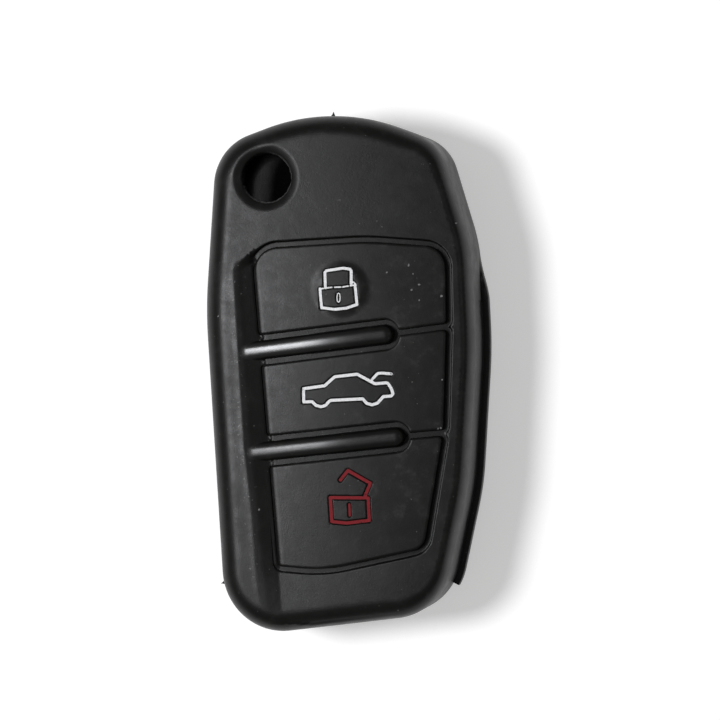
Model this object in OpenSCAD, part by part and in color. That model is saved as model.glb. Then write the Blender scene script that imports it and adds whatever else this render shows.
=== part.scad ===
// Moulded silicone cover for a folding key fob with three buttons.
// It lies on its back: +Z is the button side, +Y the end with the round release window,
// and the folded blade lies along the -X side. Lengths are in millimetres.

/* [Cover] */
// Length of the cover
body_l = 75; // [60:1:95]
// Width of the cover without its side lip
body_w = 39.6; // [34:0.2:46]
// Thickness of the cover at the middle of the button face
body_h = 17.8; // [15:0.1:24]
// How far the button face falls away towards both sides
crown_h = 0.6; // [0.2:0.1:1.2]
// Thickness of the side walls
side_wall = 1.5; // [1:0.1:2.4]
// Thickness of the wall that carries the buttons
front_wall = 2; // [1.6:0.1:2.6]
// Thickness of the back wall
back_wall = 1.6; // [1:0.1:3]

/* [Rounded edges] */
// Width of the round between button face and side wall
front_round_w = 3; // [1.5:0.1:3.6]
// Width of that round along the right side
right_round_w = 2.1; // [1.5:0.1:3.6]
// Height of the round between button face and side wall
front_round_h = 3.6; // [2:0.1:4]
// Width of the round between back and side wall
back_round_w = 3; // [1.5:0.1:3.6]
// Height of the round between back and side wall
back_round_h = 3.6; // [2:0.1:4]
// Radius inside the pocket along its bottom and top edges
pocket_round = 2; // [1:0.1:2.6]

/* [Release window] */
// Diameter of the through hole over the release button
window_d = 7.1; // [5:0.1:7.8]
// Diameter of the shallow recess round the hole
window_rim_d = 8.8; // [8.2:0.1:9.6]
// Depth of that recess below the face
window_rim_depth = 0.8; // [0.4:0.1:1]
// Radius of the round at the recess's outer edge
window_round = 0.7; // [0.3:0.1:0.9]

/* [Blade slot] */
// Height of the slot in the side wall
slot_h = 6; // [5:0.1:7]
// Height of the slot's centreline above the back
slot_z = 9; // [8:0.1:10]

/* [Side lip] */
// How far the lip stands out of the side wall
lip_proud = 1; // [0.6:0.1:2]
// Thickness of the lip
lip_h = 2; // [1.5:0.1:3.5]
// Height of the lip's underside above the back
lip_z = 3.1; // [2.8:0.1:7]
// Length over which the lip grows out of the wall at its top end
lip_taper = 7; // [3:0.5:12]

/* [Buttons] */
// Width of the groove round each button
groove_w = 0.8; // [0.5:0.05:1]
// Thickness of the flexing web in the groove
web_t = 1.2; // [0.4:0.1:1.3]
// How far a button stands above the face round it
pad_proud = 0.15; // [0:0.05:0.5]
// Radius of a button's upper edge
pad_edge = 0.4; // [0.2:0.05:0.6]
// Diameter of the pip under each button
pip_d = 4; // [2:0.1:6]
// Height of that pip
pip_h = 0.6; // [0.3:0.1:1]
// Diameter of the low dome on the lock button
dome_d = 7.8; // [6:0.1:9]
// Height of that dome
dome_h = 0.3; // [0.15:0.05:0.5]

/* [Finger ribs] */
// Width of the rounded ribs between the buttons
rib_w = 2.7; // [2:0.1:3.2]
// How far the free end of a rib stands above the face
rib_proud = 0.75; // [0.3:0.05:1]
// How far a rib's root stands above the face, negative where it lies below
rib_root_proud = -0.25; // [-0.5:0.05:0.3]

/* [Channel] */
// Depth of the channel beside the buttons
channel_depth = 1.05; // [0.6:0.05:1.1]
// Width of the shallow run-out at the channel's bottom end
runout_w = 3; // [2:0.1:5]

/* [Hidden] */
rubber = [0.12, 0.12, 0.12];
pad_rubber = [0.17, 0.17, 0.17];
web_rubber = [0.09, 0.09, 0.09];

half_w = body_w / 2;
half_l = body_l / 2;
// Every cut runs this far past the solid that it cuts
overrun = 3;
// Underside of the wall that carries the buttons
inner_z = body_h - front_wall;
// The ribs' round top is this much wider than the stem, which trims it
rib_bulge = 0.04;
rib_r = rib_w / 2 + rib_bulge;
// From a rib's centreline to the buttons beside it
rib_gap = rib_w / 2 + groove_w;
// Steps in a rounded corner of the outline, of a button and of an edge seen end on
outline_steps = 8;
pad_steps = 4;
edge_steps = 4;
rib_steps = 6;
// Longest way across the crown without a point, on the outline and on a button's edge
outline_stretch = body_l / 9;
pad_stretch = body_l / 25;

// Corners of the outline: x share of the half width, y share of the half length,
// corner radius as a share of the half width
outline_shares = [
    [-0.05, 1.05, 1.5],
    [-0.955, 0.88, 0.4],
    [-1.015, 0.35, 3.2],
    [-0.875, -1.03, 0.46],
    [0.75, -0.922, 0.45],
    [0.95, -0.43, 2.1],
    [1.01, 0.1, 3.2],
    [0.97, 0.5, 1.3],
    [0.74, 0.89, 0.35]
];
// Rings of the crowned face, as shares of the way from its middle to its rim
crown_shares = [0.8, 0.55, 0.28];

// Centre of the release window
window_share = [-0.521, 0.76];
// The blade slot runs from this height on the blade side, round the corner, to this width
slot_bottom_share = -0.8;
slot_top_share = -0.03;
// How far in the slot's cut reaches, as shares of the place of the outline's top left corner
slot_reach_share = [0.5, 0.75];
// Top and bottom end of the side lip
lip_top_share = 0.47;
lip_bottom_share = -0.82;

// Left edge of the buttons, top and bottom
left_edge_shares = [[-0.595, 0.494], [-0.384, -0.742]];
// Right edge of the buttons: top corner, first divider, second divider, bottom corner
right_edge_shares = [[0.837, 0.496], [0.844, 0.186], [0.814, -0.222], [0.664, -0.676]];
// Highest point of the buttons' top edge and lowest point of their bottom edge
top_edge_share = [0.212, 0.521];
bottom_edge_share = [-0.095, -0.755];
// Corner radii of the buttons, as shares of the half width: outer top left, outer top right,
// top arch, outer bottom right, bottom bend, and the small corners at the ribs and dividers
corner_share = [0.183, 0.163, 1.54, 0.125, 1.15, 0.031];
// Root and tip of the two ribs' centrelines
rib_root_shares = [[-0.686, 0.086], [-0.643, -0.304]];
rib_tip_shares = [[0.357, 0.154], [0.438, -0.24]];
// Places of the three symbols, over which the pips sit
pip_shares = [[0.02, 0.328], [0.078, -0.04], [0.102, -0.465]];

// Stations of the channel: y, left shoulder, and depth, as shares of the half length,
// the half width and the channel's depth
channel_shares = [
    [0.444, -0.696, 0.1],
    [0.429, -0.722, 0.6],
    [0.4, -0.73, 1],
    [0.103, -0.68, 1],
    [-0.282, -0.628, 1],
    [-0.549, -0.574, 1],
    [-0.737, -0.549, 0.9],
    [-0.846, -0.528, 0.55],
    [-0.955, -0.504, 0.12]
];

function unit(v) = v / norm(v);
function quarter_turn(v) = [-v.y, v.x];
function turned(v, a) = [v.x * cos(a) - v.y * sin(a), v.x * sin(a) + v.y * cos(a)];
function angle_of(v) = atan2(v.y, v.x);
function at_share(s) = [s.x * half_w, s.y * half_l];
function face_z(x) = body_h - crown_h * pow(x / half_w, 2);

// Where the line through p along u crosses the line through q along v
function crossing(p, u, q, v) = p + u * cross(q - p, v) / cross(u, v);

// The points that round corner b, between neighbours a and c, to radius r
function corner(a, b, c, r, steps) =
    r == 0 ? [b] :
    let (
        u = unit(a - b),
        v = unit(c - b),
        half = acos(u * v) / 2,
        centre = b + unit(u + v) * r / sin(half),
        start = b + u * r / tan(half) - centre,
        sweep = sign(cross(b - a, c - b)) * (180 - 2 * half)
    )
    [for (k = [0:steps]) centre + turned(start, sweep * k / steps)];

// A closed outline from corners [x, y, radius]
function rounded(corners, steps) =
    let (n = len(corners))
    [for (i = [0:n - 1])
        let (a = corners[(i + n - 1) % n], b = corners[i], c = corners[(i + 1) % n])
        each corner([a.x, a.y], [b.x, b.y], [c.x, c.y], b.z, steps)];

// The outline moved inwards by d, or outwards where d is negative
function inset(p, d) =
    let (n = len(p))
    [for (i = [0:n - 1])
        let (
            a = unit(p[i] - p[(i + n - 1) % n]),
            b = unit(p[(i + 1) % n] - p[i])
        )
        p[i] + (quarter_turn(a) + quarter_turn(b)) * d / (1 + a * b)];

// The outline moved inwards by a distance of its own at each point
function inset_each(p, d) =
    let (moved = inset(p, 1))
    [for (i = [0:len(p) - 1]) p[i] + (moved[i] - p[i]) * d[i]];

// Width of the front round at each point of the outline, narrower where the wall faces right
function front_widths(p) =
    let (n = len(p))
    [for (i = [0:n - 1])
        let (facing = max(0, unit(p[(i + 1) % n] - p[(i + n - 1) % n]).y))
        front_round_w + (right_round_w - front_round_w) * facing * facing];

function at_height(p, z) = [for (q = p) [q.x, q.y, z]];
function on_face(p, lift) = [for (q = p) [q.x, q.y, face_z(q.x) + lift]];

// The outline with points along each straight stretch that runs further across the crown
function divided(p, stretch) =
    let (n = len(p))
    [for (i = [0:n - 1])
        let (step = p[(i + 1) % n] - p[i], parts = max(1, ceil(abs(step.x) / stretch)))
        each [for (k = [0:parts - 1]) p[i] + step * k / parts]];

// The faces between rings of n points, from the lowest up to the top one
function ring_faces(n, top) = [for (k = [0:top - 1]) for (i = [0:n - 1])
    let (a = k * n + i, b = k * n + (i + 1) % n)
    each [[a, a + n, b + n], [a, b + n, b]]];

// A closed skin through rings of equal count, from a flat bottom ring up to a tip
module skin(rings, tip) {
    n = len(rings[0]);
    top = len(rings) - 1;
    cap = [for (i = [0:n - 1]) [top * n + i, (top + 1) * n, top * n + (i + 1) % n]];
    polyhedron(
        concat([for (r = rings) each r], [tip]),
        concat([[for (i = [0:n - 1]) i]], ring_faces(n, top), cap)
    );
}

// Places of the leftmost and the rightmost point of a ring
function leftmost(p) = search(min([for (q = p) q.x]), [for (q = p) q.x])[0];
function rightmost(p) = search(max([for (q = p) q.x]), [for (q = p) q.x])[0];

// Faces between one side of a ring, a, and its other side, b, taken from the left to the right
function strips(p, a, b, i = 0, j = 0, done = []) =
    i == len(a) - 1 && j == len(b) - 1 ? done :
    let (
        low = j == len(b) - 1 || (i < len(a) - 1 && p[a[i + 1]].x < p[b[j + 1]].x),
        next = low ? a[i + 1] : b[j + 1],
        face = a[i] == b[j] || next == a[i] || next == b[j] ? [] : [[a[i], b[j], next]]
    )
    strips(p, a, b, low ? i + 1 : i, low ? j : j + 1, concat(done, face));

// The faces that close a ring, laid in strips across it
function strip_cap(p) =
    let (
        n = len(p),
        left = leftmost(p),
        right = rightmost(p),
        lower = [for (k = [0:(right - left + n) % n]) (left + k) % n],
        upper = [for (k = [0:(left - right + n) % n]) (left - k + n) % n]
    )
    strips(p, lower, upper);

// A closed skin through rings of equal count, whose underside and crowned top are laid in strips
module crowned_skin(rings) {
    n = len(rings[0]);
    top = len(rings) - 1;
    under = [for (f = strip_cap(rings[0])) [f[2], f[1], f[0]]];
    cap = [for (f = strip_cap(rings[top])) [for (i = f) top * n + i]];
    polyhedron([for (r = rings) each r], concat(under, ring_faces(n, top), cap));
}

// The outline stretched to its full length and width, with its middle at the origin
function fitted(p) =
    let (
        xs = [for (q = p) q.x],
        ys = [for (q = p) q.y],
        middle = [max(xs) + min(xs), max(ys) + min(ys)] / 2,
        reach = [max(xs) - min(xs), max(ys) - min(ys)] / 2
    )
    [for (q = p) [(q.x - middle.x) * half_w / reach.x, (q.y - middle.y) * half_l / reach.y]];

outline = divided(fitted(rounded(
    [for (s = outline_shares) [s.x * half_w, s.y * half_l, s.z * half_w]],
    outline_steps
)), outline_stretch);

// The outer form: back round, side wall, front round and crowned face
module outer_form() {
    widths = front_widths(outline);
    face = inset_each(outline, widths);
    back_rings = [for (k = [0:edge_steps])
        let (a = 90 * k / edge_steps)
        at_height(inset(outline, back_round_w * (1 - sin(a))), back_round_h * (1 - cos(a)))];
    front_rings = [for (k = [0:edge_steps])
        let (a = 90 * k / edge_steps)
        on_face(inset_each(outline, widths * (1 - cos(a))), front_round_h * (sin(a) - 1))];
    crown_rings = [for (s = crown_shares) on_face(face * s, 0)];
    skin(concat(back_rings, front_rings, crown_rings), [0, 0, body_h]);
}

// The pocket that takes the fob
module pocket() {
    low = [for (k = [0:2])
        let (a = 45 * k)
        at_height(
            inset(outline, side_wall + pocket_round * (1 - sin(a))),
            back_wall + pocket_round * (1 - cos(a))
        )];
    high = [for (k = [0:2])
        let (a = 45 * k)
        at_height(
            inset(outline, side_wall + pocket_round * (1 - cos(a))),
            inner_z - pocket_round * (1 - sin(a))
        )];
    skin(concat(low, high), [0, 0, inner_z]);
}

left_edge = [for (s = left_edge_shares) at_share(s)];
right_edge = [for (s = right_edge_shares) at_share(s)];
left_run = unit(left_edge[1] - left_edge[0]);
rib_root = [for (s = rib_root_shares) at_share(s)];
rib_tip = [for (s = rib_tip_shares) at_share(s)];
rib_run = [for (i = [0, 1]) unit(rib_tip[i] - rib_root[i])];
divider_run = [for (i = [0, 1]) unit(right_edge[i + 1] - rib_tip[i])];
corner_r = corner_share * half_w;
// Angle at a rib's tip between the divider and the corner of the button beside it
tip_angle = asin(groove_w / 2 / rib_gap);

// Where the left edge meets the button above or below rib i; side is 1 above and -1 below
function left_corner(i, side) = crossing(
    left_edge[0], left_run, rib_tip[i] + quarter_turn(rib_run[i]) * rib_gap * side, rib_run[i]
);
// Where divider i meets the right edge, above or below it
function right_corner(i, side, k) = crossing(
    right_edge[k], right_edge[k + 1] - right_edge[k],
    rib_tip[i] + quarter_turn(divider_run[i]) * groove_w / 2 * side, divider_run[i]
);
// The bend of a button round the tip of rib i, from the left to the right
function tip_bend(i, side) =
    let (
        from = angle_of(rib_run[i]) + 90 * side,
        to = angle_of(divider_run[i]) + tip_angle * side
    )
    [for (k = [0:outline_steps])
        let (a = from + (to - from) * k / outline_steps)
        [rib_tip[i].x + rib_gap * cos(a), rib_tip[i].y + rib_gap * sin(a), 0]];
function reversed(v) = [for (k = [len(v) - 1:-1:0]) v[k]];
function with_radius(p, r) = [p.x, p.y, r];

lock_outline = rounded(concat(
    [with_radius(left_corner(0, 1), corner_r[5])],
    tip_bend(0, 1),
    [
        with_radius(right_corner(0, 1, 0), corner_r[5]),
        with_radius(right_edge[0], corner_r[1]),
        with_radius(at_share(top_edge_share), corner_r[2]),
        with_radius(left_edge[0], corner_r[0])
    ]
), pad_steps);
boot_outline = rounded(concat(
    [with_radius(left_corner(1, 1), corner_r[5])],
    tip_bend(1, 1),
    [
        with_radius(right_corner(1, 1, 1), corner_r[5]),
        with_radius(right_corner(0, -1, 1), corner_r[5])
    ],
    reversed(tip_bend(0, -1)),
    [with_radius(left_corner(0, -1), corner_r[5])]
), pad_steps);
unlock_outline = rounded(concat(
    [
        with_radius(left_edge[1], corner_r[5]),
        with_radius(at_share(bottom_edge_share), corner_r[4]),
        with_radius(right_edge[3], corner_r[3]),
        with_radius(right_corner(1, -1, 2), corner_r[5])
    ],
    reversed(tip_bend(1, -1)),
    [with_radius(left_corner(1, -1), corner_r[5])]
), pad_steps);
pad_outlines = [lock_outline, boot_outline, unlock_outline];

// The hole in the front wall for button i and its web
module pad_opening(i) {
    translate([0, 0, inner_z - overrun])
        linear_extrude(front_wall + 2 * overrun)
        polygon(inset(pad_outlines[i], -groove_w));
}

// One rib, a bar with round ends, from its root in the left strip to its free tip
module rib(i) {
    root = [rib_root[i].x, rib_root[i].y, face_z(rib_root[i].x) + rib_root_proud - rib_r];
    tip = [rib_tip[i].x, rib_tip[i].y, face_z(rib_tip[i].x) + rib_proud - rib_r];
    run = tip - root;
    quarter = [for (k = [0:rib_steps]) 90 * k / rib_steps];
    side = concat(
        [for (a = quarter) [rib_r * sin(a), -rib_r * cos(a)]],
        [for (a = quarter) [rib_r * cos(a), norm(run) + rib_r * sin(a)]]
    );
    translate(root)
        rotate([0, acos(run.z / norm(run)), angle_of(run)])
        rotate_extrude($fn = 48)
        polygon(side);
}

// The bed of rib i, sunk to the grooves beside it, out of which the rib stands as a round bar
module rib_bed(i) {
    reach = (rib_w + groove_w) / 2;
    start = crossing(left_edge[0] - [groove_w, 0], left_run, rib_root[i], rib_run[i]);
    side = quarter_turn(rib_run[i]) * reach;
    end = [for (a = [-90:15:90]) rib_tip[i] + turned(rib_run[i], a) * reach];
    translate([0, 0, inner_z + web_t])
        linear_extrude(front_wall + overrun)
        polygon(concat([start - side], end, [start + side]));
}

// The slanted channel between the left strip and the buttons
module channel() {
    // Right-hand foot of the channel at height y: just short of the buttons' opening
    foot = [for (s = channel_shares)
        left_edge[0].x + (s.x * half_l - left_edge[0].y) * left_run.x / left_run.y - groove_w / 2];
    below = [for (s = channel_shares) s.x * half_l < left_edge[1].y ? 1 : 0];
    sections = [for (k = [0:len(channel_shares) - 1])
        let (
            s = channel_shares[k],
            y = s.x * half_l,
            left = s.y * half_w,
            floor_z = face_z(foot[k]) - channel_depth * s.z,
            right = foot[k] + below[k] * runout_w
        )
        [
            [left, y, face_z(left)],
            [left, y, body_h + overrun],
            [right, y, body_h + overrun],
            [right, y, below[k] == 1 ? face_z(right) : floor_z],
            [foot[k], y, floor_z],
            [(left + foot[k]) / 2, y, (face_z(left) + floor_z) / 2]
        ]];
    n = len(sections[0]);
    last = len(sections) - 1;
    polyhedron(
        [for (s = sections) each s],
        concat(
            [[for (i = [n - 1:-1:0]) i]],
            [for (k = [0:last - 1]) for (i = [0:n - 1])
                let (a = k * n + i, b = k * n + (i + 1) % n)
                each [[a, b, b + n], [a, b + n, a + n]]],
            [[for (i = [0:n - 1]) last * n + i]]
        )
    );
}

// The stepped hole over the release button, with a rounded outer edge
module window() {
    at = at_share(window_share);
    rim_z = face_z(at.x) - window_rim_depth;
    mouth = window_rim_d / 2 + window_round;
    translate([at.x, at.y, 0]) {
        translate([0, 0, inner_z - overrun])
            cylinder(h = front_wall + 2 * overrun, d = window_d, $fn = 96);
        translate([0, 0, rim_z])
            cylinder(h = window_rim_depth + overrun, d = window_rim_d, $fn = 96);
        translate([0, 0, face_z(at.x) - window_round])
            cylinder(h = 2 * window_round, r1 = window_rim_d / 2, r2 = mouth + window_round, $fn = 96);
    }
}

// The slot through which the blade swings out: along the left side and round the top corner
module blade_slot() {
    bottom = slot_bottom_share * half_l;
    top = slot_top_share * half_w;
    reach = [
        outline_shares[1].x * half_w * slot_reach_share.x,
        outline_shares[1].y * half_l * slot_reach_share.y
    ];
    far_x = half_w + lip_proud + overrun;
    far_y = half_l + overrun;
    translate([0, 0, slot_z - slot_h / 2])
        linear_extrude(slot_h)
        polygon([
            [-far_x, bottom],
            [reach.x, bottom],
            [reach.x, 0],
            [top, reach.y],
            [top, far_y],
            [-far_x, far_y]
        ]);
    translate([-far_x, bottom, slot_z])
        rotate([0, 90, 0])
        cylinder(h = far_x + reach.x, d = slot_h, $fn = 48);
    translate([top, reach.y, slot_z])
        rotate([-90, 0, 0])
        cylinder(h = far_y - reach.y, d = slot_h, $fn = 48);
}

// The lip along the right side, growing out of the wall at its top and cut square at its bottom
module side_lip() {
    top = lip_top_share * half_l;
    bottom = lip_bottom_share * half_l;
    grown = [for (k = [0:len(outline) - 1])
        let (
            p = outline[k],
            q = inset(outline, -lip_proud)[k],
            share = min(1, max(0, (top - p.y) / lip_taper))
        )
        p + (q - p) * share];
    translate([0, 0, lip_z])
        linear_extrude(lip_h)
        intersection() {
            difference() {
                polygon(grown);
                polygon(inset(outline, side_wall / 2));
            }
            translate([0, bottom]) square([half_w + 2 * lip_proud, top - bottom]);
        }
}

module sleeve() {
    color(rubber)
        difference() {
            union() {
                difference() {
                    outer_form();
                    channel();
                    rib_bed(0);
                    rib_bed(1);
                }
                rib(0);
                rib(1);
                side_lip();
            }
            pocket();
            pad_opening(0);
            pad_opening(1);
            pad_opening(2);
            window();
            blade_slot();
        }
}

// One button: straight wall, rounded upper edge and a top that follows the crowned face
module pad(i) {
    p = divided(pad_outlines[i], pad_stretch);
    pip = at_share(pip_shares[i]);
    edge_rings = [for (k = [0:2])
        let (a = 45 * k)
        on_face(inset(p, pad_edge * (1 - cos(a))), pad_proud - pad_edge * (1 - sin(a)))];
    crowned_skin(concat([at_height(p, inner_z)], edge_rings));
    translate([pip.x, pip.y, inner_z - pip_h])
        cylinder(h = pip_h + front_wall / 2, d = pip_d, $fn = 48);
}

// The low dome round the closed padlock
module dome() {
    ball_r = (pow(dome_d / 2, 2) + pow(dome_h, 2)) / (2 * dome_h);
    at = at_share(pip_shares[0]);
    intersection() {
        translate([at.x, at.y, face_z(at.x) + pad_proud + dome_h - ball_r])
            sphere(ball_r, $fn = 96);
        translate([at.x, at.y, inner_z + front_wall / 2])
            cylinder(h = front_wall, d = dome_d, $fn = 96);
    }
}

module lock_pad() {
    color(pad_rubber) {
        pad(0);
        dome();
    }
}

module boot_pad() {
    color(pad_rubber) pad(1);
}

module unlock_pad() {
    color(pad_rubber) pad(2);
}

// The flexing web round button i, kept between the lines through the dividers above and below it
module web(i) {
    far = body_w;
    upper = i == 0 ? [[far, body_l], [-far, body_l]] : [
        rib_tip[i - 1] + divider_run[i - 1] * far,
        rib_tip[i - 1],
        rib_tip[i - 1] - rib_run[i - 1] * far
    ];
    lower = i == 2 ? [[-far, -body_l], [far, -body_l]] : [
        rib_tip[i] - rib_run[i] * far,
        rib_tip[i],
        rib_tip[i] + divider_run[i] * far
    ];
    color(web_rubber)
        translate([0, 0, inner_z])
        linear_extrude(web_t)
        intersection() {
            difference() {
                polygon(inset(pad_outlines[i], -groove_w));
                polygon(pad_outlines[i]);
            }
            polygon(concat(upper, lower));
        }
}

module lock_web() {
    web(0);
}

module boot_web() {
    web(1);
}

module unlock_web() {
    web(2);
}

sleeve();
lock_pad();
boot_pad();
unlock_pad();
lock_web();
boot_web();
unlock_web();
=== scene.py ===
import math

import bmesh
import bpy
import numpy as np
from mathutils import Matrix, Vector
from mathutils.geometry import delaunay_2d_cdt


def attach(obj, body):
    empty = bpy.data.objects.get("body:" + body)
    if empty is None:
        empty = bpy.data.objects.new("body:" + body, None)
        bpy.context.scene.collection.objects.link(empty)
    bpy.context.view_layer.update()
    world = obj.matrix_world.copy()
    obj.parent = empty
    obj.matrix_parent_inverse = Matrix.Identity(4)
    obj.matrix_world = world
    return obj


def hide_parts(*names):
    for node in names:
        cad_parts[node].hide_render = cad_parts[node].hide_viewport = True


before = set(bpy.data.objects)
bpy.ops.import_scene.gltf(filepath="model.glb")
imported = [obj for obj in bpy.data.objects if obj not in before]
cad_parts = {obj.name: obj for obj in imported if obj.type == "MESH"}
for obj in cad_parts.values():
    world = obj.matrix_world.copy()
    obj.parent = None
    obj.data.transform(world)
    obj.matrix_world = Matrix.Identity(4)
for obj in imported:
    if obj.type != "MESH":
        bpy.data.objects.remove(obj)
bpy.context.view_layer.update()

MM = 0.001

# Cover
HALF_W = 19.8 * MM
HALF_L = 37.5 * MM
BODY_H = 17.8 * MM
CROWN_H = 0.6 * MM
SIDE_WALL = 1.5 * MM
BACK_WALL = 1.6 * MM
INNER_Z = 15.8 * MM
POCKET_ROUND = 2.0 * MM
POCKET_TOP_ROUND = 0.65 * MM
BACK_ROUND_W = 3.0 * MM
BACK_ROUND_H = 3.6 * MM
# Width of the round between face and side wall at the left, right, top and bottom
FRONT_ROUND_W = (3.3 * MM, 1.5 * MM, 3.0 * MM, 3.1 * MM)
FRONT_ROUND_H = 3.6 * MM
# The outline's corners (x, y, radius), as shares of the half width and, for y, of the half length
OUTLINE_SHARES = (
    (-0.05, 1.05, 1.5), (-0.955, 0.88, 0.4), (-1.035, 0.25, 3.2), (-0.875, -1.03, 0.46),
    (0.75, -0.922, 0.45), (0.95, -0.43, 2.1), (1.01, 0.1, 3.2), (0.97, 0.5, 1.3), (0.74, 0.89, 0.35),
)
OUTLINE_ARC_STEPS = 32
OUTLINE_STEP = 0.3 * MM
# Spacing of the wall's columns, and their least distance from those of the slot
COLUMN_STEP = 0.45 * MM
COLUMN_GAP = 0.2 * MM
# Places tried along the outline when a point on it is looked for
OUTLINE_PLACES = 8000
# Points to each side that even out the front round's width
WIDTH_REACH = 25
BACK_ROUND_STEPS = 6
POCKET_ROUND_STEPS = 4
FRONT_EDGE_STEPS = 5
UPPER_WALL_RINGS = 5
# Where the front begins and its rings of points, as shares of the front round's width
FRONT_EDGE_SHARE = 0.2
FRONT_RING_SHARES = (0.26, 0.33, 0.4, 0.48, 0.57, 0.67, 0.78, 0.9, 1.03)
# From this share on a ring has every second point
FRONT_RING_THIN = 0.6
# Least distance of any other point and of the lattice, as the same shares
FRONT_CLEAR_SHARE = 0.23
FRONT_LATTICE_SHARE = 1.08
FRONT_LATTICE = 0.18 * MM
FRONT_LEAST = 0.05 * MM
FRONT_SHARP = 38
CAP_LATTICE = 1.6 * MM
CAP_CLEAR = 0.8 * MM
# Points closer than this are one point
MERGE = 0.002 * MM
# Faces this deep in a hole are left out
HOLE_SLACK = 0.0005 * MM
# The triangulation keeps the faces inside the loops and joins points this close, in millimetres
CDT_INSIDE = 2
CDT_JOIN = 1e-6

# Blade slot
SLOT_H = 6.0 * MM
SLOT_Z = 9.0 * MM
SLOT_BOTTOM_Y = -30.0 * MM
SLOT_TOP_X = -0.58 * MM
SLOT_EDGE = 0.3 * MM
# Section of the slot's rounded edge: shares inwards and towards the slot
SLOT_EDGE_SECTION = ((0.3, -0.3), (1, 0))
SLOT_END_TURN = 7.5
SLOT_LEAST = 0.02 * MM

# Lip along the right side
LIP_PROUD = 1.0 * MM
LIP_Z = 3.1 * MM
LIP_TOP_Y = 17.6 * MM
LIP_BOTTOM_Y = -30.75 * MM
LIP_TAPER = 7.0 * MM
LIP_END_STEP = 0.02 * MM
# Its rings, in millimetres: share that they stand out, height above its underside, height in the plain wall
LIP_SECTION = (
    (0, -0.1, 2.95), (0.08, -0.02, 3.1), (0.8, 0, 3.25), (0.94, 0.08, 3.45), (1, 0.25, 3.7),
    (1, 1.75, 4.2), (0.94, 1.92, 4.6), (0.8, 2.0, 4.9), (0.08, 2.02, 5.2), (0, 2.12, 5.6),
)

# Release window
WINDOW = (-10.32 * MM, 28.5 * MM)
WINDOW_R = 3.55 * MM
WINDOW_RIM_R = 4.95 * MM
WINDOW_FUNNEL = 0.5 * MM
WINDOW_ROUND = 0.4 * MM
WINDOW_FLARE = 1.5
# Rings of points round the window, in millimetres, and least radius of the others
WINDOW_RINGS = (3.72, 3.8, 3.88, 3.97, 4.1, 4.25, 4.4, 4.56, 4.73, 4.9, 5.06, 5.22)
WINDOW_POINTS = 150
WINDOW_CLEAR = 3.7 * MM
WINDOW_LATTICE_R = 5.35 * MM
# The hole's ragged edge: its waves, the range of their heights in millimetres, unevenness in height
WINDOW_WAVES = (2, 3, 5, 7, 9, 11, 14, 19, 25)
WINDOW_WAVE_HEIGHTS = (0.01, 0.035)
WINDOW_UNEVEN = 0.05 * MM
WINDOW_EVENED = 5
WINDOW_SEEDS = (7, 3)

# Buttons and the groove round them, with corners as shares of the half width and the half length
LEFT_EDGE = ((-0.628, 0.486), (-0.43, -0.742))
RIGHT_EDGE = ((0.803, 0.489), (0.813, 0.186), (0.79, -0.222), (0.65, -0.666))
TOP_EDGE = (0.212, 0.512)
BOTTOM_EDGE = (-0.095, -0.755)
# Radii at the top left, top right, top, bottom right, bottom and elsewhere, as shares of the half width
CORNER_SHARES = (0.183, 0.163, 1.54, 0.125, 1.15, 0.031)
RIB_ROOTS = ((-0.715, 0.083), (-0.675, -0.307))
RIB_TIPS = ((0.357, 0.154), (0.438, -0.24))
RIB_W = 2.7 * MM
RIB_R = 1.39 * MM
RIB_ROOT_PROUD = -0.12 * MM
RIB_TIP_PROUD = 1.0 * MM
# Shares of a rib's length that rise steeper and level off, how much gentler its root is, its fullness
RIB_STEEP = 0.38
RIB_EASE = 0.38
RIB_ROOT_EASE = 0.4
RIB_FULLNESS = 2.8
RIB_STATIONS = 101
RIB_FALL = 3
RIB_BLEND = 0.12 * MM
# Length over which the face beside a rib sinks to the groove's floor
RIB_BED_RISE = 0.3 * MM
# Rows of points along a rib's root: shares of its radius, length, spacing and turn
RIB_ROW_SHARES = (0.0, 0.35, 0.6, 0.8, 0.9, 0.96, 1.0, 1.05, 1.15)
RIB_ROW_LENGTH = 5.5 * MM
RIB_ROW_STEP = 0.15 * MM
RIB_ROW_TURN = 8
GROOVE_W = 0.8 * MM
GROOVE_DEPTH = 0.8 * MM
GROOVE_LEAST = 0.12 * MM
# Section of the groove: distance from the button in millimetres, share of the depth
GROOVE_SECTION = (
    (0.6, 1), (0.67, 0.985), (0.72, 0.94), (0.75, 0.86), (0.79, 0.25),
    (0.81, 0.17), (0.85, 0.08), (0.9, 0.03), (0.97, 0),
)
# Rows of points beside a button, and how much closer to another they may be, in millimetres
GROOVE_ROWS = (0.12, 0.3, 0.47, *(place for place, _ in GROOVE_SECTION), 1.08)
GROOVE_ROW_SLACK = 0.01
# Least distance of any point and of the lattice from a button, and reach of its fine part
GROOVE_CLEAR = 0.06 * MM
GROOVE_LATTICE_CLEAR = 1.16 * MM
GROOVE_DETAIL = 2.3 * MM
PAD_PROUD = 0.15 * MM
PAD_EDGE = 0.4 * MM
PAD_LEFT_ROUND_W = 0.9 * MM
PAD_LEFT_ROUND_H = 0.32 * MM
PAD_BULGE = 0.22 * MM
PAD_GAP = 0.02 * MM
PAD_ARC_STEPS = 12
PAD_BEND_STEPS = 16
PAD_STEP = 0.22 * MM
PAD_LATTICE = 0.2 * MM
PAD_LEAST = 0.04 * MM
PAD_SHARP = 34
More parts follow.
